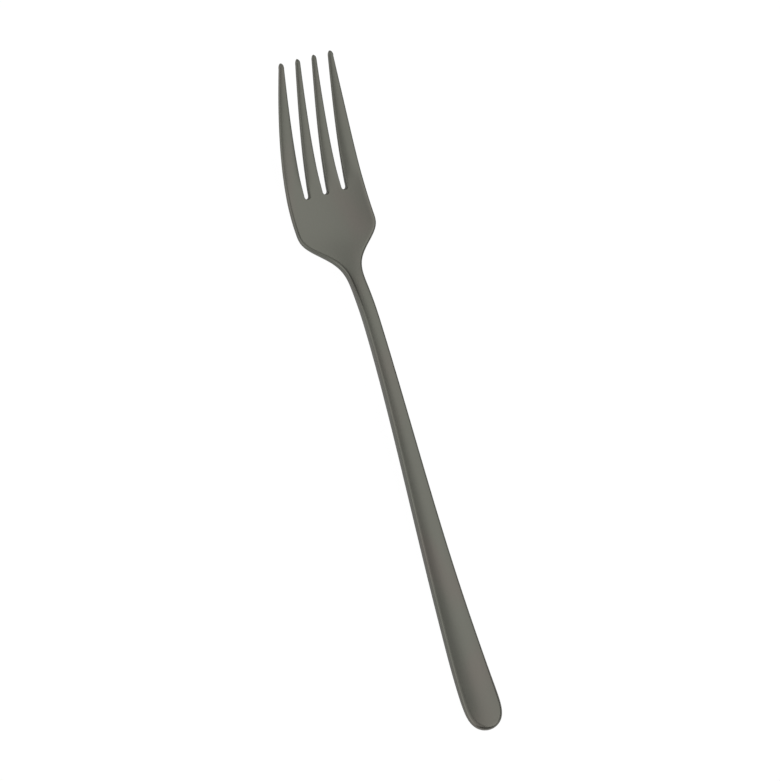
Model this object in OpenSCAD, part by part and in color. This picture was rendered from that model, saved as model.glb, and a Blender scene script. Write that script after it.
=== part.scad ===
// Dinner fork with four tines, pressed from one blank of stainless steel.
// Lengths are in millimetres. The fork lies along Y with its tines towards +Y, and +Z is up.
// The origin is under the middle of the fork, on the surface that it lies on.
// The plan outline is a closed loop. The top and the underside are sheets inside that loop,
// and a band with rounded edges runs round it and joins them, in and out of each slot.

/* [Overall] */
// Length from the end of the handle to the tips, measured flat
overall_l = 205; // [190:1:220]

/* [Handle] */
// Widest width of the handle, near its end
handle_w = 11.8; // [9:0.1:14]
// Length over which the end of the handle rounds off
end_l = 10.6; // [8:0.1:14]
// Thickness at the end of the handle
end_t = 2.6; // [2.5:0.1:3.5]
// Thickness of the handle
handle_t = 3.1; // [2.4:0.1:4]
// How far the end of the handle is lifted off the table
end_lift = 2.5; // [0.5:0.1:4]
// Distance from the end of the handle to the place that it rests on
rest_l = 25; // [18:0.5:36]
// Radius of the rounded edges of the handle
handle_edge_r = 0.7; // [0.4:0.05:1]
// Radius of the edge at the end of the handle, which is rounded more for the palm
end_edge_r = 1.15; // [0.7:0.05:1.15]

/* [Neck] */
// Width of the neck where it is slimmest
neck_w = 4.65; // [3.6:0.05:6]
// Thickness of the neck
neck_t = 3.5; // [2.8:0.1:4.4]
// Length from the slimmest place of the neck to the start of the shoulders
neck_l = 6.1; // [3:0.1:12]
// Height of the arch under the neck
arch_h = 5.7; // [3:0.05:9]
// Distance from the widest line of the head back to the top of the arch
arch_l = 33.8; // [26:0.1:42]

/* [Head] */
// Widest width of the head
head_w = 25.5; // [22:0.1:29]
// Length from the widest line of the head to the tips
head_l = 47.1; // [43:0.1:54]
// Length of the shoulders, from the neck to the widest line
shoulder_l = 23.8; // [18:0.1:29]
// Thickness of the head
head_t = 2; // [1.6:0.05:2.8]
// Depth of the shallow dish across the head
dish_h = 0.8; // [0.2:0.05:1.4]
// Distance from the widest line of the head forward to the lowest place of the belly
belly_l = 2.5; // [1:0.1:7]
// Radius of the rounded edges round the outside of the head
head_edge_r = 0.85; // [0.5:0.05:0.9]

/* [Tines] */
// Length of the slots, from their roots to the tips
slot_l = 39.3; // [34:0.1:42]
// Width of each slot at its root
slot_root_w = 1.75; // [1.5:0.05:2.4]
// Width of each slot at the tips
slot_tip_w = 3.9; // [3.2:0.05:4.4]
// Distance between the middles of neighbouring slots at the roots
slot_pitch = 6.1; // [5.4:0.01:6.5]
// Width of each tine at its tip
tine_tip_w = 1.4; // [1.2:0.05:2]
// Thickness of each tine at its tip
tip_t = 1.1; // [1:0.05:1.6]
// Height of the tips above the belly
tip_lift = 17.6; // [12:0.1:22]
// Run of the bend from the belly to where the tines are nearly straight
bend_l = 20.4; // [12:0.1:28]
// Radius of the edges of the slots and the tips, which are crisper than the outside
slot_edge_r = 0.3; // [0.15:0.05:0.35]
// Length from the roots of the slots over which the faces of the tines become domed
dome_l = 7; // [3:0.5:15]

/* [Hidden] */

// How quickly widths and heights change along their stretches, as powers of the way along
taper_power_share = 1.62;
end_power_share = 3.6;
flare_power_share = 4;
shoulder_power_share = 5.9;
tip_power_share = 1.82;
arch_power_share = 1.13;
fall_power_share = 1.13;

// Crown of the handle's top, and of its underside, as shares of its half width
crown_share = 0.13;
under_crown_share = 0.045;
// Fall of a tine's face from its middle to its edges, as a share of its width
dome_share = 0.06;
// Most of the thickness, and of a tine's width, that one edge radius may take
edge_of_t_share = 0.46;
edge_of_tine_share = 0.3;
// Length of a tine's rounded tip, as a share of half its width
tip_round_share = 2;
// Depth of the two flats that are worn on the underside, as a share of the handle's thickness
wear_share = 0.02;
// Step for measuring a slope, as a share of the length
probe_share = 0.00005;

// Numbers of steps along the outline and round the edges
end_steps = 9;
handle_steps = 17;
shoulder_steps = 13;
head_steps = 4;
tine_steps = 12;
tip_steps = 4;
arc_steps = 6;
edge_steps = 3;
tines = 4;

// Places along the length, from the end of the handle
head_at = overall_l - head_l;
flare_at = head_at - shoulder_l;
neck_at = flare_at - neck_l;
arch_at = head_at - arch_l;
belly_at = head_at + belly_l;
root_at = overall_l - slot_l;
fork_at = root_at + slot_root_w / 2;

// Widths and depths that follow from the sizes above
tips_w = tines * tine_tip_w + (tines - 1) * slot_tip_w;
tip_pitch = tine_tip_w + slot_tip_w;
tip_l = tip_round_share * tine_tip_w / 2;
wear_h = wear_share * handle_t;
probe = probe_share * overall_l;
web_at = root_at - 2 * slot_edge_r;

function blend(a, b, s) = a + (b - a) * s;
function way(y, a, b) = max(0, min(1, (y - a) / (b - a)));
function ease(s) = s * s * (3 - 2 * s);

// Half the width of the outline at y, without the slots
function taper_half(y) = blend(neck_w, handle_w, pow(1 - way(y, end_l, neck_at), taper_power_share)) / 2;
function shoulder(y) = 1 - pow(1 - pow(way(y, flare_at, head_at), flare_power_share), shoulder_power_share);
function narrowing(y) = (head_w - tips_w) / 2 * pow(way(y, head_at, overall_l), tip_power_share);
function end_round(y) = sqrt(1 - pow(1 - way(y, 0, end_l), end_power_share));
function half_w(y) = (blend(taper_half(y), head_w / 2, shoulder(y)) - narrowing(y)) * end_round(y);
function half_w_slope(y) = (half_w(y + probe) - half_w(y - probe)) / (2 * probe);

// Thickness of the blank, and the radius of its edges round the outside and in the slots, at y
function thick(y) =
    y < rest_l ? blend(end_t, handle_t, ease(way(y, 0, rest_l))) :
    y < neck_at ? blend(handle_t, neck_t, ease(way(y, rest_l, neck_at))) :
    y < head_at ? blend(neck_t, head_t, ease(way(y, neck_at, head_at))) :
    blend(head_t, tip_t, ease(way(y, head_at, overall_l)));
function edge_limit(y) = min(edge_of_t_share * thick(y), edge_of_tine_share * tine_w(y));
function tine_w(y) = blend(slot_pitch - slot_root_w, tine_tip_w, way(y, fork_at, overall_l));
function back_r(y) = blend(end_edge_r, handle_edge_r, ease(way(y, 0, rest_l)));
function front_r(y) = blend(head_edge_r, slot_edge_r, way(y, fork_at, overall_l));
function outer_r(y) = min(blend(back_r(y), front_r(y), ease(way(y, neck_at, head_at))), edge_limit(y));
function slot_r(y) = min(slot_edge_r, edge_limit(y));

// Side view: height of the underside over the table, and of the middle of the blank
function end_rise(y) = end_lift * pow(1 - way(y, 0, rest_l), 2);
function arch_rise(y) = arch_h * ease(pow(way(y, rest_l, arch_at), arch_power_share));
function arch_fall(y) = arch_h * ease(pow(way(y, arch_at, belly_at), fall_power_share));
function bend(d) = sqrt(d * d + bend_l * bend_l) - bend_l;
function tine_rise(y) = tip_lift * bend(max(0, y - belly_at)) / bend(overall_l - belly_at);
function under_z(y) = end_rise(y) + arch_rise(y) - arch_fall(y) + tine_rise(y) - wear_h;
function mid_z(y) = under_z(y) + thick(y) / 2;
function lean(y) = atan((mid_z(y + probe) - mid_z(y - probe)) / (2 * probe));

// Across the fork: the dish of the head, and the crown of the handle
function dish(x, y) =
    dish_h * pow(2 * x / head_w, 2) * ease(way(y, flare_at, head_at)) * ease(way(y, overall_l, belly_at));
function swell(y) =
    taper_half(y) * (1 - ease(way(y, flare_at, head_at))) * (1 - pow(1 - way(y, 0, end_l), 2));
function side_share(x, y) = abs(x) < half_w(y) ? pow(x / half_w(y), 2) : 1;
function crown(x, y, side) =
    swell(y) * (side > 0 ? crown_share * (1 - side_share(x, y)) : -under_crown_share * side_share(x, y));

// A place of the outline is [x, y, nx, ny, r], where [nx, ny] points into the metal and r is the
// radius of the edge
function unit(v) = v / norm(v);
function place(x, y, v, r) = [x, y, unit(v)[0], unit(v)[1], r];
function inset(b, e) = [b[0] + e * b[2], b[1] + e * b[3]];
function brow(b) = inset(b, b[4]);

// Right and left sides of the handle, the neck and the head
side_ys = concat(
    [for (k = [1:end_steps]) end_l * pow(k / end_steps, 2)],
    [for (k = [1:handle_steps]) blend(end_l, flare_at, k / handle_steps)],
    [for (k = [1:shoulder_steps]) blend(flare_at, head_at, k / shoulder_steps)],
    [for (k = [1:head_steps]) blend(head_at, web_at, k / head_steps)]
);
function side_place(y, s) = place(s * half_w(y), y, [-s, half_w_slope(y)], outer_r(y));

// Slots are counted from the left. Their walls run straight from the root to the tips
function slot_x(i, y) = (i - tines / 2 + 1) * blend(slot_pitch, tip_pitch, way(y, fork_at, overall_l));
function slot_half(y) = blend(slot_root_w, slot_tip_w, way(y, fork_at, overall_l)) / 2;
function arc_place(i, k) =
    let (
        a = 180 + 180 * k / arc_steps,
        v = [cos(a), sin(a)],
        p = [slot_x(i, fork_at), fork_at] + slot_root_w / 2 * v
    )
    place(p[0], p[1], v, slot_r(p[1]));

// Side s of tine i at y, where s is 1 on the right and -1 on the left
function is_outer(i, s) = s > 0 ? i == tines - 1 : i == 0;
function tine_edge(i, s, y) =
    is_outer(i, s) ? s * half_w(y) : slot_x(s > 0 ? i : i - 1, y) - s * slot_half(y);
function tine_slope(i, s, y) = (tine_edge(i, s, y) - tine_edge(i, s, y - probe)) / probe;
function root_slope(i, s) = is_outer(i, s) ? tine_slope(i, s, fork_at) : 0;
function tine_r(i, s, y) = is_outer(i, s) ? outer_r(y) : slot_r(y);
function wall_place(i, s, k) =
    let (
        y = blend(fork_at, overall_l - tip_l, k / tine_steps),
        slope = k == 0 ? root_slope(i, s) : tine_slope(i, s, y)
    )
    place(tine_edge(i, s, y), y, [-s, s * slope], tine_r(i, s, y));

// The tip of tine i is half an ellipse, which closes at its end place
function tine_mid(i, y) = (tine_edge(i, 1, y) + tine_edge(i, -1, y)) / 2;
function tine_half(i, y) = (tine_edge(i, 1, y) - tine_edge(i, -1, y)) / 2;
function tip_place(i, s, k) =
    let (
        a = 90 * k / (tip_steps + 1),
        low = overall_l - tip_l,
        y = low + tip_l * sin(a),
        half = tine_half(i, low)
    )
    place(tine_mid(i, low) + s * half * cos(a), y, [-s * cos(a) / half, -sin(a) / tip_l], tine_r(i, s, y));
function tip_end(i) = place(tine_mid(i, overall_l - tip_l), overall_l, [0, -1], slot_r(overall_l));
function tine_place(i, s, k) = k <= tine_steps ? wall_place(i, s, k) : tip_place(i, s, k - tine_steps);
tine_rows = tine_steps + tip_steps;

// Row k of tine i: the inner ends of its two rounded edges, and its middle line between them
function tine_row(i, k) =
    let (a = brow(tine_place(i, -1, k)), b = brow(tine_place(i, 1, k)))
    [a, k == tine_rows ? brow(tip_end(i)) : (a + b) / 2, b];

// The last row of the body runs along the roots of the tines and round the slots, left to right
root_row = [for (i = [0:tines - 1]) each concat(
    tine_row(i, 0),
    i == tines - 1 ? [] : [for (k = [1:arc_steps - 1]) brow(arc_place(i, k))]
)];
across_shares = [for (p = root_row) p[0] / root_row[len(root_row) - 1][0]];

// A place at the share s of the way out from the middle line
function across_place(y, s) =
    let (b = side_place(y, 1))
    [s * b[0], b[1], s * b[2], b[3], b[4]];

// The end of the handle closes along its curve, between the first places of its two sides
function end_y(x) = end_l * (1 - pow(1 - pow(2 * x / handle_w, 2), 1 / end_power_share));
function end_slope(x) = (end_y(x + probe) - end_y(x - probe)) / (2 * probe);
function end_place(s) =
    let (x = s * half_w(side_ys[0]))
    place(x, end_y(x), [-end_slope(x), 1], outer_r(end_y(x)));
end_arc = [for (k = [1:len(across_shares) - 2]) end_place(across_shares[k])];

// The outline, from the end of the handle up its right side, round each tine, and down its left side
outline = concat(
    [for (y = side_ys) side_place(y, 1)],
    [for (n = [1:tines]) let (i = tines - n) each concat(
        [for (k = [0:tine_rows]) tine_place(i, 1, k)],
        [tip_end(i)],
        [for (k = [0:tine_rows]) tine_place(i, -1, tine_rows - k)],
        i == 0 ? [] : [for (k = [1:arc_steps - 1]) arc_place(i - 1, arc_steps - k)]
    )],
    [for (n = [1:len(side_ys)]) side_place(side_ys[len(side_ys) - n], -1)],
    end_arc
);

// Rows of the body run across it, from the end of the handle to the row at the roots
end_row = [for (b = concat([side_place(side_ys[0], -1)], end_arc, [side_place(side_ys[0], 1)])) brow(b)];
function body_row(y) = [for (s = across_shares) brow(across_place(y, s))];
body_plan = concat([end_row], [for (k = [1:len(side_ys) - 1]) body_row(side_ys[k])], [root_row]);
function tine_plan(i) = [for (k = [0:tine_rows]) tine_row(i, k)];

// Fall of the faces of a tine from its middle line to its edges
function tine_at(x, y) = len([for (i = [0:tines - 2]) if (slot_x(i, y) < x) i]);
function dome(x, y) =
    y <= fork_at ? 0 :
    let (i = tine_at(x, y), w = 2 * tine_half(i, y))
    dome_share * w * pow(2 * (x - tine_mid(i, y)) / w, 2) * ease(way(y, fork_at, fork_at + dome_l));

// A point of the skin over the plan place p, lowered by drop from the face of its side
function skin(p, drop, side) =
    let (
        half = thick(p[1]) / 2 - drop + crown(p[0], p[1], side) - dome(p[0], p[1]),
        n = side * half + dish(p[0], p[1]),
        a = lean(p[1])
    )
    [p[0], p[1] - n * sin(a), mid_z(p[1]) + n * cos(a)];

// Grids of skin points: one face of the body or of a tine, and the band round the outline
function sheet(plan, side) = [for (row = plan) [for (p = row) skin(p, 0, side)]];
function band_point(b, side, k) =
    let (a = 90 * k / edge_steps)
    skin(inset(b, b[4] * (1 - cos(a))), b[4] * (1 - sin(a)), side);
band = [for (b = concat(outline, [outline[0]])) concat(
    [for (k = [0:edge_steps]) band_point(b, -1, edge_steps - k)],
    [for (k = [0:edge_steps]) band_point(b, 1, k)]
)];

// Two triangles for each cell of a grid, whose points start at base
function cell(a, b, c, d, turned) = turned ? [[a, c, b], [b, c, d]] : [[a, b, c], [b, d, c]];
function grid_faces(grid, base, turned) =
    let (w = len(grid[0]))
    [for (r = [0:len(grid) - 2]) for (c = [0:w - 2]) each cell(
        base + r * w + c, base + r * w + c + 1, base + (r + 1) * w + c, base + (r + 1) * w + c + 1, turned
    )];
function flat(grid) = [for (row = grid) each row];
function starts(grids, i = 0, base = 0) =
    i == len(grids) ? [] : concat([base], starts(grids, i + 1, base + len(flat(grids[i]))));

// The whole skin: each entry is a grid and whether its triangles are turned over
skins = concat(
    [[sheet(body_plan, 1), true], [sheet(body_plan, -1), false], [band, false]],
    [for (i = [0:tines - 1]) each [[sheet(tine_plan(i), 1), true], [sheet(tine_plan(i), -1), false]]]
);

module blank() {
    grids = [for (s = skins) s[0]];
    bases = starts(grids);
    polyhedron(
        points = [for (g = grids) each flat(g)],
        faces = [for (i = [0:len(skins) - 1]) each grid_faces(grids[i], bases[i], skins[i][1])]
    );
}

// The table side, which wears the two flats on the underside
module table() {
    translate([-head_w, 0, -tip_lift]) cube([2 * head_w, overall_l, tip_lift]);
}

module fork() {
    color([0.43, 0.425, 0.4])
    translate([0, -overall_l / 2, 0])
    difference() {
        blank();
        table();
    }
}

fork();
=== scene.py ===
"""Looks of the dinner fork: one dark satin steel piece on a pale table, under soft studio light."""

import logging
import math
from dataclasses import dataclass, field
from enum import Enum
from typing import ClassVar

import bpy
import numpy as np
from mathutils import Matrix, Vector


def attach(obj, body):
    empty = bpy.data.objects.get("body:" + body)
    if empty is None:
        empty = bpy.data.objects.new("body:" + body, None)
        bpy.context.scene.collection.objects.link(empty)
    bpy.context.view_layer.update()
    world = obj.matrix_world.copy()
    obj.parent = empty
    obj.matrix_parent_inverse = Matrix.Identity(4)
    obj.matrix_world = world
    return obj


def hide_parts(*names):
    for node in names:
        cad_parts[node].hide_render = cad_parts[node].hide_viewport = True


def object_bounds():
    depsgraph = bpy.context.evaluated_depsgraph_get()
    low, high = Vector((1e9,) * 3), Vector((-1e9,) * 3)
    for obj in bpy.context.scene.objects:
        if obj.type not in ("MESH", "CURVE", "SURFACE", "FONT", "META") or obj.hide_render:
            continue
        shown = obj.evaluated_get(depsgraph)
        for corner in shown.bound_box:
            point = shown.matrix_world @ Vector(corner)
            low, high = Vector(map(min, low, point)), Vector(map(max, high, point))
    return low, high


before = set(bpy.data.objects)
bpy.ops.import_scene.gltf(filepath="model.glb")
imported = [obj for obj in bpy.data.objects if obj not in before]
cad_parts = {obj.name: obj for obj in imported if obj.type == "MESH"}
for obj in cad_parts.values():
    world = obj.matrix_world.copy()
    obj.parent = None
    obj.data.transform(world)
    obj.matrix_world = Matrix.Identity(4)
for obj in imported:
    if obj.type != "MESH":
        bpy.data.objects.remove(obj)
CAD_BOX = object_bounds()

LOG = logging.getLogger("fork")
MM = 0.001
FORK_NODE = "fork"
NOISE_MIDDLE = 0.5

Array = np.ndarray
Colour = tuple[float, float, float]


class Side(Enum):
    """The two faces of the pressed blank."""

    TOP = 1
    UNDERSIDE = -1


class Edge(Enum):
    """The two long sides of a tine, or of the whole fork."""

    RIGHT = 1
    LEFT = -1


class Region(Enum):
    """The regions of the skin that have a finish of their own, in the order of the mesh's materials."""

    FACE = 0
    RIM = 1


def blend(a: float | Array, b: float | Array, s: float | Array) -> float | Array:
    """Mix a and b by the share s."""
    return a + (b - a) * s


def way(y: float | Array, a: float, b: float) -> Array:
    """How far y is along the stretch from a to b, held between 0 and 1."""
    return np.clip((np.asarray(y, float) - a) / (b - a), 0.0, 1.0)


def ease(s: float | Array) -> float | Array:
    """Smooth step of the share s, level at both ends."""
    return s * s * (3.0 - 2.0 * s)


# Sizes of the fork


@dataclass(frozen=True)
class Handle:
    """Sizes of the handle, in metres, and shares of them."""

    width: float = 11.8 * MM
    round_length: float = 10.6 * MM
    end_thickness: float = 2.6 * MM
    thickness: float = 3.1 * MM
    end_lift: float = 2.5 * MM
    rest_length: float = 25.0 * MM
    edge_radius: float = 0.7 * MM
    end_edge_radius: float = 1.15 * MM
    crown_share: float = 0.13
    under_crown_share: float = 0.045
    taper_power: float = 1.62
    taper_ease: float = 2.0 * MM
    end_power: float = 3.6
    wear_share: float = 0.02


@dataclass(frozen=True)
class Neck:
    """Sizes of the neck and of the arch under it, in metres."""

    width: float = 4.65 * MM
    thickness: float = 3.5 * MM
    length: float = 6.1 * MM
    arch_height: float = 5.7 * MM
    arch_length: float = 33.8 * MM
    arch_power: float = 1.13
    fall_power: float = 1.13


@dataclass(frozen=True)
class Head:
    """Sizes of the shoulders and the dished head, in metres."""

    width: float = 25.5 * MM
    length: float = 47.1 * MM
    shoulder_length: float = 23.8 * MM
    thickness: float = 2.0 * MM
    dish_depth: float = 0.8 * MM
    belly_length: float = 2.5 * MM
    edge_radius: float = 0.85 * MM
    flare_power: float = 4.0
    shoulder_power: float = 5.9
    narrowing_power: float = 1.82


@dataclass(frozen=True)
class Tines:
    """Sizes of the slots and of the tines between them, in metres, and shares of them."""

    count: int = 4
    slot_length: float = 39.3 * MM
    slot_root_width: float = 1.75 * MM
    slot_tip_width: float = 3.9 * MM
    pitch: float = 6.1 * MM
    tip_width: float = 1.4 * MM
    tip_thickness: float = 1.1 * MM
    tip_lift: float = 17.6 * MM
    bend_length: float = 20.4 * MM
    slot_edge_radius: float = 0.3 * MM
    dome_length: float = 7.0 * MM
    dome_share: float = 0.06
    dome_reach_share: float = 1.001
    tip_round_share: float = 2.0
    edge_of_thickness_share: float = 0.46
    edge_of_width_share: float = 0.3
    least_wall: float = 0.1 * MM


@dataclass(frozen=True)
class Fineness:
    """Numbers of steps along the outline and round the edges, and two shares of where steps start and end."""

    end: int = 32
    handle: int = 84
    shoulder: int = 60
    head: int = 14
    web: int = 5
    tine: int = 56
    tip: int = 14
    arc: int = 20
    edge: int = 7
    across_tine: int = 7
    probe: int = 20000
    end_start_share: float = 1 / 9
    tip_turn_share: float = 0.85


# Form, outline and mesh


@dataclass
class ForkForm:
    """The form of the whole fork, as functions of the place along it, counted from the handle's end."""

    length: float = 205.0 * MM
    handle: Handle = field(default_factory=Handle)
    neck: Neck = field(default_factory=Neck)
    head: Head = field(default_factory=Head)
    tines: Tines = field(default_factory=Tines)
    steps: Fineness = field(default_factory=Fineness)

    def __post_init__(self) -> None:
        """Work out the places along the fork, and the small step that slopes are measured over."""
        self.head_at = self.length - self.head.length
        self.flare_at = self.head_at - self.head.shoulder_length
        self.neck_at = self.flare_at - self.neck.length
        self.arch_at = self.head_at - self.neck.arch_length
        self.belly_at = self.head_at + self.head.belly_length
        self.root_at = self.length - self.tines.slot_length
        self.fork_at = self.root_at + self.tines.slot_root_width / 2
        self.web_at = self.root_at - 2 * self.tines.slot_edge_radius
        self.tip_pitch = self.tines.tip_width + self.tines.slot_tip_width
        slots = self.tines.count - 1
        self.tips_width = self.tines.count * self.tines.tip_width + slots * self.tines.slot_tip_width
        self.tip_length = self.tines.tip_round_share * self.tines.tip_width / 2
        self.probe = self.length / self.steps.probe

    def taper_half(self, y: Array) -> Array:
        """Half the width of the handle's taper, which starts gently where the rounded end stops.

        Args:
            y: places along the fork.

        Returns:
            Half the width at each place.
        """
        run = np.asarray(y, float) - self.handle.round_length
        run = (run + np.hypot(run, self.handle.taper_ease)) / 2
        share = (1 - way(run, 0, self.neck_at - self.handle.round_length)) ** self.handle.taper_power
        return blend(self.neck.width, self.handle.width, share) / 2

    def half_width(self, y: Array) -> Array:
        """Half the width of the outline, without the slots.

        Args:
            y: places along the fork.

        Returns:
            Half the width at each place.
        """
        flare = way(y, self.flare_at, self.head_at) ** self.head.flare_power
        rise = 1 - (1 - flare) ** self.head.shoulder_power
        narrow = way(y, self.head_at, self.length) ** self.head.narrowing_power
        half = blend(self.taper_half(y), self.head.width / 2, rise)
        half = half - (self.head.width - self.tips_width) / 2 * narrow
        return half * np.sqrt(1 - (1 - way(y, 0, self.handle.round_length)) ** self.handle.end_power)

    def end_run(self, x: Array) -> Array:
        """How far the rounded end of the handle has run along the fork at x across it."""
        inner = 1 - (2 * x / self.handle.width) ** 2
        return self.handle.round_length * (1 - inner ** (1 / self.handle.end_power))

    def thickness(self, y: Array) -> Array:
        """Thickness of the blank.

        Args:
            y: places along the fork.

        Returns:
            The thickness at each place, eased from one named thickness to the next.
        """
        places = (0.0, self.handle.rest_length, self.neck_at, self.head_at, self.length)
        values = (
            self.handle.end_thickness,
            self.handle.thickness,
            self.neck.thickness,
            self.head.thickness,
            self.tines.tip_thickness,
        )
        total = np.full(np.shape(y), values[0])
        for k in range(len(places) - 1):
            total = total + (values[k + 1] - values[k]) * ease(way(y, places[k], places[k + 1]))
        return total

    def tine_width(self, y: Array) -> Array:
        """Width of a middle tine at y."""
        root = self.tines.pitch - self.tines.slot_root_width
        return blend(root, self.tines.tip_width, way(y, self.fork_at, self.length))

    def edge_limit(self, y: Array) -> Array:
        """Largest edge radius that the thickness and a tine's width leave room for at y."""
        by_thickness = self.tines.edge_of_thickness_share * self.thickness(y)
        return np.minimum(by_thickness, self.tines.edge_of_width_share * self.tine_width(y))

    def outer_radius(self, y: Array) -> Array:
        """Radius of the rounded edges round the outside of the fork.

        Args:
            y: places along the fork.

        Returns:
            The radius at each place.
        """
        handle, head = self.handle, self.head
        back = blend(handle.end_edge_radius, handle.edge_radius, ease(way(y, 0, handle.rest_length)))
        front = blend(head.edge_radius, self.tines.slot_edge_radius, way(y, self.fork_at, self.length))
        return np.minimum(blend(back, front, ease(way(y, self.neck_at, self.head_at))), self.edge_limit(y))

    def slot_radius(self, y: Array) -> Array:
        """Radius of the rounded edges of the slots at y."""
        return np.minimum(self.tines.slot_edge_radius, self.edge_limit(y))

    def bend(self, run: Array) -> Array:
        """Rise of the bend from the belly to the straight tines, before it is scaled."""
        return np.sqrt(run * run + self.tines.bend_length**2) - self.tines.bend_length

    def middle_height(self, y: Array) -> Array:
        """Height of the middle of the blank over the table: the lifted end, the arch, the belly and the tips.

        Args:
            y: places along the fork.

        Returns:
            The height at each place.
        """
        y = np.asarray(y, float)
        end = self.handle.end_lift * (1 - way(y, 0, self.handle.rest_length)) ** 2
        rise = ease(way(y, self.handle.rest_length, self.arch_at) ** self.neck.arch_power)
        fall = ease(way(y, self.arch_at, self.belly_at) ** self.neck.fall_power)
        run = np.maximum(0, y - self.belly_at)
        tine = self.tines.tip_lift * self.bend(run) / self.bend(self.length - self.belly_at)
        worn = self.handle.wear_share * self.handle.thickness
        return end + self.neck.arch_height * (rise - fall) + tine - worn + self.thickness(y) / 2

    def lean(self, y: Array) -> Array:
        """Angle of the blank at y, in radians, positive where it climbs towards the tips."""
        step = self.middle_height(y + self.probe) - self.middle_height(y - self.probe)
        return np.arctan(step / (2 * self.probe))

    def dish(self, x: Array, y: Array) -> Array:
        """Lift of the head's sides over its middle line."""
        fade = ease(way(y, self.flare_at, self.head_at)) * ease(way(y, self.length, self.belly_at))
        return self.head.dish_depth * (2 * x / self.head.width) ** 2 * fade

    def crown(self, x: Array, y: Array, side: Side) -> Array:
        """Swell of the handle's face: more in the middle on top, less at the sides underneath.

        Args:
            x: places across the fork.
            y: places along the fork.
            side: the face that swells.

        Returns:
            How far the face stands out at each place, beyond half the thickness.
        """
        swell = self.taper_half(y) * (1 - ease(way(y, self.flare_at, self.head_at)))
        swell = swell * (1 - (1 - way(y, 0, self.handle.round_length)) ** 2)
        out = np.minimum(1, (x / np.maximum(self.half_width(y), self.probe)) ** 2)
        if side is Side.TOP:
            return swell * self.handle.crown_share * (1 - out)
        return -swell * self.handle.under_crown_share * out

    def slot_middle(self, slot: int, y: Array) -> Array:
        """Middle of a slot at y. Slots are counted from the left."""
        pitch = blend(self.tines.pitch, self.tip_pitch, way(y, self.fork_at, self.length))
        return (slot - self.tines.count / 2 + 1) * pitch

    def slot_half(self, y: Array) -> Array:
        """Half the width of a slot at y."""
        share = way(y, self.fork_at, self.length)
        return blend(self.tines.slot_root_width, self.tines.slot_tip_width, share) / 2

    def is_outer(self, tine: int, edge: Edge) -> bool:
        """Whether this edge of the tine is also the outside of the fork."""
        return tine == (self.tines.count - 1 if edge is Edge.RIGHT else 0)

    def tine_edge(self, tine: int, edge: Edge, y: Array) -> Array:
        """Place across the fork of one edge of a tine.

        Args:
            tine: the tine, counted from the left.
            edge: the edge of the tine.
            y: places along the fork.

        Returns:
            The edge's place across the fork at each y.
        """
        if self.is_outer(tine, edge):
            return edge.value * self.half_width(y)
        slot = tine if edge is Edge.RIGHT else tine - 1
        return self.slot_middle(slot, y) - edge.value * self.slot_half(y)

    def dome(self, x: Array, y: Array) -> Array:
        """Fall of a tine's face from its middle line to its edges.

        Args:
            x: places across the fork.
            y: places along the fork.

        Returns:
            The fall at each place, which is 0 before the slots start.
        """
        fall = np.zeros(np.shape(x))
        for tine in range(self.tines.count):
            left = self.tine_edge(tine, Edge.LEFT, y)
            right = self.tine_edge(tine, Edge.RIGHT, y)
            out = np.abs(2 * x - left - right) / (right - left)
            share = self.tines.dome_share * (right - left) * out**2
            fall = np.where(out <= self.tines.dome_reach_share, share, fall)
        return fall * ease(way(y, self.fork_at, self.fork_at + self.tines.dome_length))

    def edge_room(self, x: Array, y: Array) -> Array:
        """Radius that leaves the least flat wall between the two rounded edges at x and y on the outline."""
        faces = self.crown(x, y, Side.TOP) + self.crown(x, y, Side.UNDERSIDE)
        return (self.thickness(y) + faces - self.tines.least_wall) / 2 - self.dome(x, y)

    def skin(self, plan: Array, drop: Array, side: Side) -> Array:
        """Points of the skin over places of the plan.

        Args:
            plan: places [x, y] inside the outline, one a row.
            drop: how far each point is lowered from the face by the rounded edge.
            side: the face that the points lie on.

        Returns:
            Points [x, y, z], one a row, with the fork's middle over the origin.
        """
        x, y = plan[:, 0], plan[:, 1]
        half = self.thickness(y) / 2 - drop + self.crown(x, y, side) - self.dome(x, y)
        out = side.value * half + self.dish(x, y)
        angle = self.lean(y)
        along = y - out * np.sin(angle) - self.length / 2
        height = self.middle_height(y) + out * np.cos(angle)
        return np.stack([x, along, np.maximum(height, 0)], axis=1)


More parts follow.
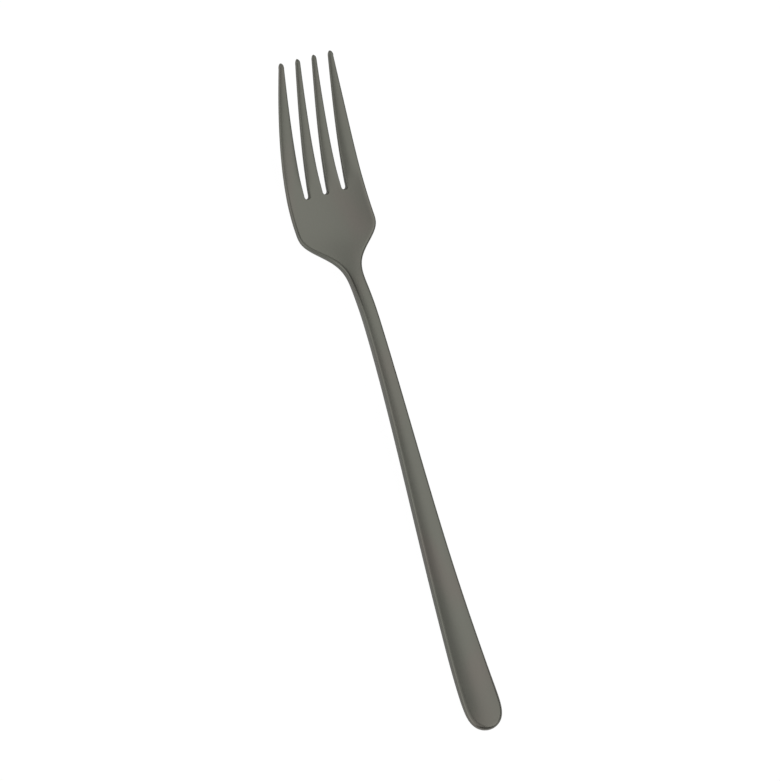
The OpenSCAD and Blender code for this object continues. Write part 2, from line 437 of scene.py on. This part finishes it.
@dataclass
class Outline:
    """The closed outline of the plan.

    A place is [x, y, nx, ny, r], where [nx, ny] points into the metal and r is the edge's radius.
    """

    form: ForkForm

    def place(self, x: Array, y: Array, nx: Array, ny: Array, outer: bool) -> Array:
        """Make places of the outline.

        Args:
            x: places across the fork.
            y: places along the fork.
            nx: part across the fork of a direction into the metal.
            ny: part along the fork of the same direction.
            outer: whether the places are on the outside of the fork, and not in a slot.

        Returns:
            Places with directions of length 1 and the radius of their edge, one a row.
        """
        x, y, nx, ny = np.broadcast_arrays(*(np.atleast_1d(np.asarray(v, float)) for v in (x, y, nx, ny)))
        radius = self.form.outer_radius(y) if outer else self.form.slot_radius(y)
        radius = np.minimum(radius, self.form.edge_room(x, y))
        size = np.hypot(nx, ny)
        return np.stack([x, y, nx / size, ny / size, radius], axis=1)

    def side_rows(self) -> Array:
        """Choose where rows cross the handle, the neck and the head.

        Returns:
            Places along the fork, closer together near the handle's end.
        """
        form, steps = self.form, self.form.steps
        end = form.handle.round_length * np.linspace(steps.end_start_share, 1, steps.end) ** 2
        handle = np.linspace(form.handle.round_length, form.flare_at, steps.handle)[1:]
        shoulder = np.linspace(form.flare_at, form.head_at, steps.shoulder)[1:]
        head = np.linspace(form.head_at, form.web_at, steps.head)[1:]
        return np.concatenate([end, handle, shoulder, head])

    def side_places(self, y: Array, edge: Edge) -> Array:
        """Outside of the handle, the neck and the head.

        Args:
            y: places along the fork.
            edge: the side of the fork.

        Returns:
            Places of the outline, one a row.
        """
        form = self.form
        slope = (form.half_width(y + form.probe) - form.half_width(y - form.probe)) / (2 * form.probe)
        return self.place(edge.value * form.half_width(y), y, -edge.value, slope, True)

    def arc_places(self, slot: int) -> Array:
        """The round root of a slot.

        Args:
            slot: the slot, counted from the left.

        Returns:
            Places of the outline from the root's left end to its right end, without the ends.
        """
        form, steps = self.form, self.form.steps
        angle = math.pi * (1 + np.arange(1, steps.arc) / steps.arc)
        radius = form.tines.slot_root_width / 2
        middle = form.slot_middle(slot, form.fork_at)
        across, along = np.cos(angle), np.sin(angle)
        return self.place(middle + radius * across, form.fork_at + radius * along, across, along, False)

    def tip_places(self, tine: int, angle: Array, outer: bool) -> Array:
        """The rounded tip of a tine, half an ellipse.

        Args:
            tine: the tine, counted from the left.
            angle: angles round the tip, from its right side.
            outer: whether the places are on the outside of the fork.

        Returns:
            Places of the outline, one a row.
        """
        form, reach = self.form, self.form.tip_length
        y = form.length - reach
        left, right = (form.tine_edge(tine, edge, y) for edge in (Edge.LEFT, Edge.RIGHT))
        middle, half = (left + right) / 2, (right - left) / 2
        across, along = np.cos(angle), np.sin(angle)
        return self.place(middle + half * across, y + reach * along, -across / half, -along / reach, outer)

    def tine_places(self, tine: int, edge: Edge) -> Array:
        """One edge of a tine, from its root until its tip has nearly closed.

        Args:
            tine: the tine, counted from the left.
            edge: the edge of the tine.

        Returns:
            Places of the outline, one a row.
        """
        form, steps = self.form, self.form.steps
        outer = form.is_outer(tine, edge)
        y = np.linspace(form.fork_at, form.length - form.tip_length, steps.tine)
        x = form.tine_edge(tine, edge, y)
        slope = (x - form.tine_edge(tine, edge, y - form.probe)) / form.probe
        if not outer:
            slope[0] = 0
        shank = self.place(x, y, -edge.value, edge.value * slope, outer)
        turn = np.linspace(0, math.pi / 2 * steps.tip_turn_share, steps.tip)[1:]
        angle = turn if edge is Edge.RIGHT else math.pi - turn
        return np.concatenate([shank, self.tip_places(tine, angle, outer)])

    def cap_places(self, tine: int) -> Array:
        """The end of a tine's tip, between its two edges.

        Args:
            tine: the tine, counted from the left.

        Returns:
            Places of the outline from left to right.
        """
        gap = math.pi / 2 * (1 - self.form.steps.tip_turn_share)
        angle = math.pi / 2 + np.linspace(gap, -gap, self.form.steps.across_tine)[1:-1]
        return self.tip_places(tine, angle, False)

    def web_places(self, edge: Edge) -> Array:
        """Outside of the short stretch beside the roots of the slots.

        Args:
            edge: the side of the fork.

        Returns:
            Places of the outline, without the ends of the stretch.
        """
        steps = self.form.steps
        low = self.side_places(self.side_rows()[-1:], edge)[0]
        tine = self.form.tines.count - 1 if edge is Edge.RIGHT else 0
        high = self.tine_places(tine, edge)[0]
        shares = np.arange(1, steps.web) / steps.web
        return blend(low[None, :], high[None, :], shares[:, None])

    def end_places(self) -> Array:
        """The handle's end, along its curve.

        Returns:
            Places of the outline from the left side's first place to the right side's.
        """
        form = self.form
        root = self.root_row()
        first = self.side_rows()[:1]
        left, right = (self.side_places(first, edge) for edge in (Edge.LEFT, Edge.RIGHT))
        x = right[0, 0] * root[1:-1, 0] / root[-1, 0]
        slope = (form.end_run(x + form.probe) - form.end_run(x - form.probe)) / (2 * form.probe)
        return np.concatenate([left, self.place(x, form.end_run(x), -slope, 1, True), right])

    def loop(self) -> Array:
        """The whole outline, from the handle's end up the right side, round each tine and back.

        Returns:
            Places of the outline, one a row.
        """
        form = self.form
        y = self.side_rows()
        parts = [self.side_places(y, Edge.RIGHT), self.web_places(Edge.RIGHT)]
        for tine in reversed(range(form.tines.count)):
            parts.append(self.tine_places(tine, Edge.RIGHT))
            parts.append(self.cap_places(tine)[::-1])
            parts.append(self.tine_places(tine, Edge.LEFT)[::-1])
            if tine > 0:
                parts.append(self.arc_places(tine - 1)[::-1])
        parts.append(self.web_places(Edge.LEFT)[::-1])
        parts.append(self.side_places(y, Edge.LEFT)[::-1])
        parts.append(self.end_places()[1:-1])
        return np.concatenate(parts)

    def inset(self, places: Array, share: float | Array = 1.0) -> Array:
        """Plan places [x, y] moved into the metal by a share of the edge radius."""
        reach = places[:, 4] * share
        return places[:, :2] + reach[:, None] * places[:, 2:4]

    def tine_plan(self, tine: int) -> Array:
        """Rows of plan places across a tine, from its root to its tip.

        Args:
            tine: the tine, counted from the left.

        Returns:
            Plan places, as rows by columns by two.
        """
        left = self.inset(self.tine_places(tine, Edge.LEFT))
        right = self.inset(self.tine_places(tine, Edge.RIGHT))
        shares = np.linspace(0, 1, self.form.steps.across_tine)
        plan = blend(left[:, None, :], right[:, None, :], shares[None, :, None])
        plan[-1, 1:-1] = self.inset(self.cap_places(tine))
        return plan

    def root_row(self) -> Array:
        """Plan places along the roots of the tines and round the slots.

        Returns:
            Plan places from left to right.
        """
        row = []
        for tine in range(self.form.tines.count):
            row.append(self.tine_plan(tine)[0])
            if tine < self.form.tines.count - 1:
                row.append(self.inset(self.arc_places(tine)))
        return np.concatenate(row)

    def across_places(self, y: float, shares: Array) -> Array:
        """A row of places across the fork, with the radius of its sides.

        Args:
            y: the row's place along the fork.
            shares: shares of the way out from the middle line, negative on the left.

        Returns:
            Places, one a row.
        """
        right = self.side_places(np.array([y]), Edge.RIGHT)[0]
        ones = np.ones_like(shares)
        scale = np.stack([shares, ones, shares, ones, ones], axis=1)
        return scale * right

    def body_plan(self) -> Array:
        """Rows of plan places across the handle, the neck and the head, up to the slots.

        Returns:
            Plan places, as rows by columns by two.
        """
        root = self.root_row()
        shares = root[:, 0] / root[-1, 0]
        rows = [self.inset(self.across_places(y, shares)) for y in self.side_rows()]
        rows[0] = self.inset(self.end_places())
        last, count = rows[-1], self.form.steps.web
        rows += [blend(last, root, k / count) for k in range(1, count + 1)]
        rows[-1] = root
        return np.array(rows)


@dataclass
class MeshParts:
    """Quads gathered from grids of points, with a mark for each point and a region for each quad."""

    points: list[Array] = field(default_factory=list)
    rims: list[Array] = field(default_factory=list)
    quads: list[Array] = field(default_factory=list)
    regions: list[Array] = field(default_factory=list)
    total: int = 0
    weld_step: float = 0.0001 * MM

    def add_grid(self, grid: Array, rim: Array, region: Region, turned: bool) -> None:
        """Add a grid of points.

        Args:
            grid: points as rows by columns by three.
            rim: how much of the edge each point belongs to, as rows by columns.
            region: the region that the grid's quads belong to.
            turned: whether the quads face the other way.
        """
        rows, cols = grid.shape[:2]
        index = self.total + np.arange(rows * cols).reshape(rows, cols)
        a, b, c, d = index[:-1, :-1], index[:-1, 1:], index[1:, 1:], index[1:, :-1]
        order = (a, d, c, b) if turned else (a, b, c, d)
        self.points.append(grid.reshape(-1, 3))
        self.rims.append(rim.reshape(-1))
        self.quads.append(np.stack(order, axis=-1).reshape(-1, 4))
        self.regions.append(np.full((rows - 1) * (cols - 1), region.value))
        self.total += rows * cols

    def settle_into(self, box: tuple) -> None:
        """Scale the points by some hundredths of a percent, where finer steps stand out of the CAD box.

        Args:
            box: the lowest and the highest corner of the CAD box.
        """
        points = np.concatenate(self.points)
        low, high = points.min(axis=0), points.max(axis=0)
        floor, top = (np.array([float(v) for v in corner]) for corner in box)
        scale = np.minimum(1, (top - floor) / (high - low))
        shift = np.maximum(floor, np.minimum(low * scale, top - (high - low) * scale)) - low * scale
        self.points = [part * scale + shift for part in self.points]

    def to_mesh(self, name: str) -> bpy.types.Mesh:
        """Weld the grids at their seams.

        Args:
            name: name of the new mesh.

        Returns:
            A closed mesh with smooth faces and a point attribute named rim.
        """
        points = np.concatenate(self.points)
        _, first, inverse = np.unique(
            np.round(points / self.weld_step).astype(np.int64), axis=0, return_index=True, return_inverse=True
        )
        quads = inverse.reshape(-1)[np.concatenate(self.quads)]
        mesh = bpy.data.meshes.new(name)
        mesh.from_pydata(points[first].tolist(), [], quads.tolist())
        rim = mesh.attributes.new("rim", "FLOAT", "POINT")
        rim.data.foreach_set("value", np.concatenate(self.rims)[first].astype(np.float32))
        mesh.polygons.foreach_set("material_index", np.concatenate(self.regions).astype(np.int32))
        mesh.polygons.foreach_set("use_smooth", np.ones(len(quads), bool))
        mesh.validate()
        mesh.update()
        return mesh


# Finishes


@dataclass(frozen=True)
class Noise:
    """Soft noise over the piece's own coordinates, stretched along the fork.

    Its two sizes are repeats for each metre, detail is the number of finer layers, and the shift makes one
    noise unlike another.
    """

    across: float
    along: float
    detail: float
    shift: float = 0.0
    roughness: float = 0.55


@dataclass
class Wiring:
    """Short ways to add nodes to a shader node tree."""

    tree: bpy.types.NodeTree

    def feed(self, socket: bpy.types.NodeSocket, value: object) -> None:
        """Link a socket, or set it where the value isn't a socket.

        Args:
            socket: the input socket.
            value: an output socket, a number or a colour.
        """
        if isinstance(value, bpy.types.NodeSocket):
            self.tree.links.new(value, socket)
        else:
            socket.default_value = value

    def math(self, operation: str, *values: object) -> bpy.types.NodeSocket:
        """Add a math node.

        Args:
            operation: the node's operation.
            values: sockets to link, or numbers to set, in order.

        Returns:
            The node's output socket.
        """
        node = self.tree.nodes.new("ShaderNodeMath")
        node.operation = operation
        for socket, value in zip(node.inputs, values):
            self.feed(socket, value)
        return node.outputs[0]

    def noise(self, noise: Noise) -> bpy.types.NodeSocket:
        """Add a noise.

        Args:
            noise: the noise's sizes.

        Returns:
            The noise's value socket.
        """
        place = self.tree.nodes.new("ShaderNodeTexCoord")
        mapping = self.tree.nodes.new("ShaderNodeMapping")
        mapping.inputs["Scale"].default_value = (noise.across, noise.along, noise.across)
        mapping.inputs["Location"].default_value = (noise.shift, noise.shift, noise.shift)
        texture = self.tree.nodes.new("ShaderNodeTexNoise")
        texture.inputs["Scale"].default_value = 1.0
        texture.inputs["Detail"].default_value = noise.detail
        texture.inputs["Roughness"].default_value = noise.roughness
        self.feed(mapping.inputs["Vector"], place.outputs["Object"])
        self.feed(texture.inputs["Vector"], mapping.outputs["Vector"])
        return texture.outputs["Fac"]

    def mix_colours(self, first: object, second: Colour, share: bpy.types.NodeSocket) -> bpy.types.NodeSocket:
        """Add a mix of two colours.

        Args:
            first: the colour where the share is 0, as a socket or as four numbers.
            second: the colour where the share is 1.
            share: share of the second colour.

        Returns:
            The mixed colour's socket.
        """
        node = self.tree.nodes.new("ShaderNodeMix")
        node.data_type = "RGBA"
        self.feed(node.inputs["A"], first)
        self.feed(node.inputs["B"], (*second, 1.0))
        self.feed(node.inputs["Factor"], share)
        return node.outputs["Result"]

    def place(self, group: bpy.types.NodeTree, values: dict[str, object]) -> bpy.types.Node:
        """Place an effect's node group.

        Args:
            group: the effect's group.
            values: the group's inputs by name, as sockets to link or numbers to set.

        Returns:
            The group's node.
        """
        node = self.tree.nodes.new("ShaderNodeGroup")
        node.node_tree = group
        for label, value in values.items():
            self.feed(node.inputs[label], value)
        return node


class Effect:
    """An effect that both finishes use: a shader node group, built once, with named inputs and outputs."""

    name: ClassVar[str]
    inputs: ClassVar[tuple[str, ...]]
    outputs: ClassVar[tuple[str, ...]]

    def group(self) -> bpy.types.NodeTree:
        """Fetch the effect's group, and build it the first time.

        Returns:
            The group.
        """
        if self.name in bpy.data.node_groups:
            return bpy.data.node_groups[self.name]
        tree = bpy.data.node_groups.new(self.name, "ShaderNodeTree")
        for label in self.inputs:
            tree.interface.new_socket(name=label, in_out="INPUT", socket_type="NodeSocketFloat")
        for label in self.outputs:
            tree.interface.new_socket(name=label, in_out="OUTPUT", socket_type="NodeSocketFloat")
        given = tree.nodes.new("NodeGroupInput").outputs
        wiring = Wiring(tree)
        results = self.wire(wiring, given)
        out = tree.nodes.new("NodeGroupOutput").inputs
        for label, result in zip(self.outputs, results):
            wiring.feed(out[label], result)
        return tree

    def wire(self, wiring: Wiring, given: bpy.types.NodeOutputs) -> tuple[bpy.types.NodeSocket, ...]:
        """Wire the effect's nodes, and return one socket for each output in order."""
        raise NotImplementedError


@dataclass(frozen=True)
class SatinGrain(Effect):
    """Fine lengthwise brushing over a beaded satin surface, as a height and as a mask of streaks."""

    name: ClassVar[str] = "satin_grain"
    inputs: ClassVar[tuple[str, ...]] = ("Brushing", "Beading")
    outputs: ClassVar[tuple[str, ...]] = ("Height", "Streaks")
    hair: Noise = Noise(across=9000, along=260, detail=3.0)
    line: Noise = Noise(across=2300, along=60, detail=2.0, shift=3.7)
    bead: Noise = Noise(across=11000, along=11000, detail=2.0, shift=9.1)
    line_share: float = 0.45

    def wire(self, wiring: Wiring, given: bpy.types.NodeOutputs) -> tuple[bpy.types.NodeSocket, ...]:
        """Mix hair-fine and broader streaks, and lay them over the beads.

        Args:
            wiring: the group's tree.
            given: the group's inputs.

        Returns:
            The height and the streaks.
        """
        hair = wiring.math("MULTIPLY", wiring.noise(self.hair), 1 - self.line_share)
        streaks = wiring.math("MULTIPLY_ADD", wiring.noise(self.line), self.line_share, hair)
        brushed = wiring.math("MULTIPLY", streaks, given["Brushing"])
        beaded = wiring.math("MULTIPLY", wiring.noise(self.bead), given["Beading"])
        return wiring.math("ADD", brushed, beaded), streaks


@dataclass(frozen=True)
class HandlingMarks(Effect):
    """Faint smudges from hands and washing, and a few fine scratches, as masks."""

    name: ClassVar[str] = "handling_marks"
    inputs: ClassVar[tuple[str, ...]] = ("Smudges", "Scratches")
    outputs: ClassVar[tuple[str, ...]] = ("Smudge", "Scratch")
    cloud: Noise = Noise(across=120, along=45, detail=3.0, shift=1.3)
    hair: Noise = Noise(across=2600, along=110, detail=0.0, shift=5.9)
    patch: Noise = Noise(across=300, along=150, detail=0.0, shift=7.7)
    scratch_width: float = 0.002
    patch_level: float = 0.62

    def wire(self, wiring: Wiring, given: bpy.types.NodeOutputs) -> tuple[bpy.types.NodeSocket, ...]:
        """Make the smudges from clouds, and the scratches from the middle lines of a noise, inside patches.

        Args:
            wiring: the group's tree.
            given: the group's inputs.

        Returns:
            The smudges, around 0, and the scratches.
        """
        cloud = wiring.math("SUBTRACT", wiring.noise(self.cloud), NOISE_MIDDLE)
        smudge = wiring.math("MULTIPLY", cloud, given["Smudges"])
        near = wiring.math("ABSOLUTE", wiring.math("SUBTRACT", wiring.noise(self.hair), NOISE_MIDDLE))
        line = wiring.math("LESS_THAN", near, self.scratch_width)
        patch = wiring.math("GREATER_THAN", wiring.noise(self.patch), self.patch_level)
        scratch = wiring.math("MULTIPLY", line, patch)
        return smudge, wiring.math("MULTIPLY", scratch, given["Scratches"])


@dataclass(frozen=True)
class EdgeWear(Effect):
    """A trace of bare steel where the rounded edges are rubbed, as a mask."""

    name: ClassVar[str] = "edge_wear"
    inputs: ClassVar[tuple[str, ...]] = ("Rim", "Amount")
    outputs: ClassVar[tuple[str, ...]] = ("Wear",)
    patch: Noise = Noise(across=420, along=260, detail=2.0, shift=2.1)
    rim_power: float = 3.0

    def wire(self, wiring: Wiring, given: bpy.types.NodeOutputs) -> tuple[bpy.types.NodeSocket, ...]:
        """Keep the outermost part of the rim, in patches.

        Args:
            wiring: the group's tree.
            given: the group's inputs.

        Returns:
            The wear.
        """
        outermost = wiring.math("POWER", given["Rim"], self.rim_power)
        rubbed = wiring.math("MULTIPLY", outermost, wiring.noise(self.patch))
        return (wiring.math("MULTIPLY", rubbed, given["Amount"]),)


@dataclass(frozen=True)
class WarmCast(Effect):
    """Broad soft patches where the coating came out a little warmer, as a mask."""

    name: ClassVar[str] = "warm_cast"
    inputs: ClassVar[tuple[str, ...]] = ("From", "To")
    outputs: ClassVar[tuple[str, ...]] = ("Warmth",)
    patch: Noise = Noise(across=70, along=38, detail=1.0, shift=4.4)

    def wire(self, wiring: Wiring, given: bpy.types.NodeOutputs) -> tuple[bpy.types.NodeSocket, ...]:
        """Spread the patches softly between two levels of a noise.

        Args:
            wiring: the group's tree.
            given: the group's inputs.

        Returns:
            The warmth, between 0 and 1.
        """
        spread = wiring.tree.nodes.new("ShaderNodeMapRange")
        spread.interpolation_type = "SMOOTHSTEP"
        wiring.feed(spread.inputs["Value"], wiring.noise(self.patch))
        wiring.feed(spread.inputs["From Min"], given["From"])
        wiring.feed(spread.inputs["From Max"], given["To"])
        return (spread.outputs["Result"],)


@dataclass(frozen=True)
class DarkSatin:
    """Dark grey coating over satin steel."""

    name: str
    tint: Colour = (0.1725, 0.174, 0.1495)
    warm_tint: Colour = (0.182, 0.1705, 0.15)
    worn_tint: Colour = (0.26, 0.257, 0.24)
    roughness: float = 0.34
    brushing: float = 0.6
    beading: float = 0.4
    bump_depth: float = 0.0025 * MM
    tone_span: float = 0.14
    roughness_span: float = 0.10
    smudges: float = 1.0
    scratches: float = 0.2
    scratch_polish: float = 0.1
    wear: float = 0.22
    warm_from: float = 0.48
    warm_to: float = 0.75

    def build(self) -> bpy.types.Material:
        """Build the material.

        Returns:
            A material whose colour, roughness and normal vary over the surface.
        """
        material = bpy.data.materials.new(self.name)
        material.use_nodes = True
        wiring = Wiring(material.node_tree)
        shader = material.node_tree.nodes["Principled BSDF"]
        shader.inputs["Metallic"].default_value = 1.0
        grain = wiring.place(SatinGrain().group(), {"Brushing": self.brushing, "Beading": self.beading})
        marks = wiring.place(HandlingMarks().group(), {"Smudges": self.smudges, "Scratches": self.scratches})
        streak = wiring.math("SUBTRACT", grain.outputs["Streaks"], NOISE_MIDDLE)
        uneven = wiring.math("ADD", streak, marks.outputs["Smudge"])
        scratch = marks.outputs["Scratch"]
        wiring.feed(shader.inputs["Base Color"], self.colour(wiring, uneven, scratch))
        rough = wiring.math("MULTIPLY_ADD", uneven, self.roughness_span, self.roughness)
        rough = wiring.math("MULTIPLY_ADD", scratch, -self.scratch_polish, rough)
        wiring.feed(shader.inputs["Roughness"], rough)
        bump = wiring.tree.nodes.new("ShaderNodeBump")
        bump.inputs["Distance"].default_value = self.bump_depth
        wiring.feed(bump.inputs["Height"], grain.outputs["Height"])
        wiring.feed(shader.inputs["Normal"], bump.outputs["Normal"])
        return material

    def colour(
        self, wiring: Wiring, uneven: bpy.types.NodeSocket, scratch: bpy.types.NodeSocket
    ) -> bpy.types.NodeSocket:
        """Vary the tint with the streaks, smudges and warm patches, and show bare steel where it is worn.

        Args:
            wiring: the material's tree.
            uneven: the streaks and smudges together, around 0.
            scratch: mask of the scratches.

        Returns:
            The colour's socket.
        """
        warm = wiring.place(WarmCast().group(), {"From": self.warm_from, "To": self.warm_to})
        hue = wiring.mix_colours((*self.tint, 1.0), self.warm_tint, warm.outputs["Warmth"])
        tinted = wiring.tree.nodes.new("ShaderNodeVectorMath")
        tinted.operation = "SCALE"
        wiring.feed(tinted.inputs[0], hue)
        wiring.feed(tinted.inputs["Scale"], wiring.math("MULTIPLY_ADD", uneven, self.tone_span, 1.0))
        rim = wiring.tree.nodes.new("ShaderNodeAttribute")
        rim.attribute_name = "rim"
        worn = wiring.place(EdgeWear().group(), {"Rim": rim.outputs["Fac"], "Amount": self.wear})
        bare = wiring.math("ADD", worn.outputs["Wear"], scratch)
        return wiring.mix_colours(tinted.outputs["Vector"], self.worn_tint, bare)


# The piece


@dataclass
class Fork:
    """The fork itself: one pressed piece from the handle's end to the tips."""

    form: ForkForm = field(default_factory=ForkForm)
    face_finish: DarkSatin = DarkSatin("dark_satin_face")
    rim_finish: DarkSatin = DarkSatin("dark_satin_rim", roughness=0.28, brushing=0.25, beading=0.6)

    def face(self, plan: Array, side: Side) -> Array:
        """Grid of skin points over rows of plan places."""
        flat = self.form.skin(plan.reshape(-1, 2), np.zeros(plan.shape[0] * plan.shape[1]), side)
        return flat.reshape(*plan.shape[:2], 3)

    def band(self, outline: Outline) -> tuple[Array, Array]:
        """The rounded band that joins the two faces round the outline.

        Args:
            outline: the fork's outline.

        Returns:
            The band's grid of points, and how much of the edge each point is.
        """
        loop = outline.loop()
        loop = np.concatenate([loop, loop[:1]])
        radius = loop[:, 4]
        columns, rims = [], []
        angles = np.linspace(0, math.pi / 2, self.form.steps.edge)
        turns = [(Side.UNDERSIDE, a) for a in angles[::-1]] + [(Side.TOP, a) for a in angles]
        for side, angle in turns:
            plan = outline.inset(loop, 1 - math.cos(angle))
            columns.append(self.form.skin(plan, radius * (1 - math.sin(angle)), side))
            rims.append(np.full(len(loop), math.cos(angle)))
        return np.stack(columns, axis=1), np.stack(rims, axis=1)

    def build_mesh(self) -> bpy.types.Mesh:
        """Build the skin, as large as the CAD box lets it be.

        Returns:
            The closed mesh of the fork.
        """
        outline = Outline(self.form)
        parts = MeshParts()
        plans = [outline.body_plan()] + [outline.tine_plan(k) for k in range(self.form.tines.count)]
        for plan in plans:
            for side in Side:
                turned = side is Side.UNDERSIDE
                parts.add_grid(self.face(plan, side), np.zeros(plan.shape[:2]), Region.FACE, turned)
        grid, rim = self.band(outline)
        parts.add_grid(grid, rim, Region.RIM, True)
        parts.settle_into(CAD_BOX)
        return parts.to_mesh("dinner_fork")

    def build(self) -> bpy.types.Object:
        """Build and dress the piece, and tie it to the frame.

        Returns:
            The fork's object, shown in place of the CAD node, which it hides.
        """
        mesh = self.build_mesh()
        finishes = {Region.FACE: self.face_finish, Region.RIM: self.rim_finish}
        for region in Region:
            mesh.materials.append(finishes[region].build())
        piece = bpy.data.objects.new("dinner_fork", mesh)
        bpy.context.collection.objects.link(piece)
        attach(piece, "root")
        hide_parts(FORK_NODE)
        return piece


# Table, light and camera


@dataclass
class Table:
    """The pale table top under the fork. It isn't part of the object.

    The tint and the bounce are what it throws on the fork, and the shade share and the glow what is seen.
    """

    size: float = 6.0
    gap: float = 0.02 * MM
    tint: float = 0.8
    bounce: float = 0.22
    shade_share: float = 0.07
    glow: float = 0.975

    def build_material(self) -> bpy.types.Material:
        """A matt white board: one shader for the light that it throws on the fork, one for the camera.

        Returns:
            The table's material.
        """
        material = bpy.data.materials.new("pale_table")
        material.use_nodes = True
        tree = material.node_tree
        tree.nodes.remove(tree.nodes["Principled BSDF"])
        board = self.lit_matt(tree, self.tint, self.bounce)
        backdrop = self.lit_matt(tree, self.shade_share, self.glow)
        seen = tree.nodes.new("ShaderNodeLightPath")
        mix = tree.nodes.new("ShaderNodeMixShader")
        tree.links.new(seen.outputs["Is Camera Ray"], mix.inputs["Fac"])
        tree.links.new(board, mix.inputs[1])
        tree.links.new(backdrop, mix.inputs[2])
        tree.links.new(mix.outputs[0], tree.nodes["Material Output"].inputs["Surface"])
        return material

    def lit_matt(self, tree: bpy.types.NodeTree, tint: float, glow: float) -> bpy.types.NodeSocket:
        """A matt shader with a glow of its own, as a lit white board has.

        Args:
            tree: the material's tree.
            tint: how light its grey is.
            glow: strength of its own light.

        Returns:
            The shader's output socket.
        """
        matt = tree.nodes.new("ShaderNodeBsdfDiffuse")
        matt.inputs["Color"].default_value = (tint, tint, tint, 1.0)
        light = tree.nodes.new("ShaderNodeEmission")
        light.inputs["Strength"].default_value = glow
        both = tree.nodes.new("ShaderNodeAddShader")
        tree.links.new(matt.outputs[0], both.inputs[0])
        tree.links.new(light.outputs[0], both.inputs[1])
        return both.outputs[0]

    def build(self) -> bpy.types.Object:
        """Lay the table top a hair below the two faces that the fork rests on.

        Returns:
            The table top's object.
        """
        half = self.size / 2
        mesh = bpy.data.meshes.new("pale_table")
        corners = [(x, y, -self.gap) for x, y in ((-half, -half), (half, -half), (half, half), (-half, half))]
        mesh.from_pydata(corners, [], [(0, 1, 2, 3)])
        mesh.materials.append(self.build_material())
        top = bpy.data.objects.new("pale_table", mesh)
        bpy.context.collection.objects.link(top)
        return top


@dataclass(frozen=True)
class SoftBox:
    """A large soft light, placed by its direction from the fork: degrees aside and along it."""

    name: str
    aside: float
    along: float
    width: float
    length: float
    radiance: float
    distance: float = 1.5

    def build(self) -> bpy.types.Object:
        """Hang the light.

        Returns:
            The light's object, facing the fork.
        """
        light = bpy.data.lights.new(self.name, "AREA")
        light.shape = "RECTANGLE"
        light.size = self.width
        light.size_y = self.length
        light.energy = self.radiance * math.pi * self.width * self.length
        lamp = bpy.data.objects.new(self.name, light)
        aside, along = math.radians(self.aside), math.radians(self.along)
        away = Vector((math.sin(aside) * math.cos(along), math.sin(along), math.cos(aside) * math.cos(along)))
        across = Vector((0, 1, 0)).cross(away).normalized()
        up = away.cross(across)
        turn = Matrix((across, up, away)).transposed().to_4x4()
        lamp.matrix_world = Matrix.Translation(away * self.distance) @ turn
        bpy.context.collection.objects.link(lamp)
        return lamp


@dataclass
class Studio:
    """Plain soft studio light."""

    boxes: tuple[SoftBox, ...] = (
        SoftBox("right_soft_box", aside=34, along=-3, width=1.34, length=3.22, radiance=0.885),
        SoftBox("top_strip", aside=-2, along=0, width=0.64, length=3.57, radiance=0.23),
        SoftBox("left_soft_box", aside=-52, along=-16, width=2.34, length=2.02, radiance=0.53),
        SoftBox("low_right_box", aside=70, along=-44, width=0.9, length=0.62, radiance=0.4),
        SoftBox("low_left_box", aside=-74, along=-8, width=0.7, length=1.8, radiance=0.45),
    )
    room_glow: float = 0.2

    def build(self) -> None:
        """Hang the lights and set the room's own light."""
        for box in self.boxes:
            box.build()
        world = bpy.data.worlds.new("room")
        world.use_nodes = True
        background = world.node_tree.nodes["Background"]
        background.inputs["Color"].default_value = (1.0, 1.0, 1.0, 1.0)
        background.inputs["Strength"].default_value = self.room_glow
        bpy.context.scene.world = world
        bpy.context.scene.view_settings.view_transform = "Standard"


@dataclass(frozen=True)
class PhotoCamera:
    """The photograph's view: nearly straight down, from the fork's left, with a long lens.

    Its angles are in degrees, and its lens and sensor in millimetres, as Blender wants them.
    """

    leftward: float = 21.5
    backward: float = 2.234
    roll: float = 16.857
    distance: float = 1.8
    lens: float = 280.47
    sensor: float = 36.0
    target: tuple[float, float, float] = (0.984 * MM, 1.935 * MM, 2.97 * MM)

    def build(self) -> bpy.types.Object:
        """Place the camera.

        Returns:
            The camera's object, set as the scene's camera.
        """
        left, back, roll = (math.radians(v) for v in (self.leftward, self.backward, self.roll))
        away = Vector((-math.sin(left), -math.cos(left) * math.sin(back), math.cos(left) * math.cos(back)))
        along = (Vector((0, 1, 0)) - away * away.y).normalized()
        across = along.cross(away)
        up = along * math.cos(roll) + across * math.sin(roll)
        right = across * math.cos(roll) - along * math.sin(roll)
        lens = bpy.data.cameras.new("photo_camera")
        lens.lens = self.lens
        lens.sensor_width = self.sensor
        camera = bpy.data.objects.new("photo_camera", lens)
        turn = Matrix((right, up, away)).transposed().to_4x4()
        camera.matrix_world = Matrix.Translation(Vector(self.target) + away * self.distance) @ turn
        bpy.context.collection.objects.link(camera)
        bpy.context.scene.camera = camera
        return camera


# The whole scene


def main() -> None:
    """Build the camera, the light, the table and the fork, in that order."""
    logging.basicConfig(level=logging.INFO, format="%(name)s: %(message)s")
    PhotoCamera().build()
    Studio().build()
    LOG.info("built %s", Table().build().name)
    piece = Fork().build()
    LOG.info("built %s with %d faces", piece.name, len(piece.data.polygons))


if __name__ == "__main__":
    main()
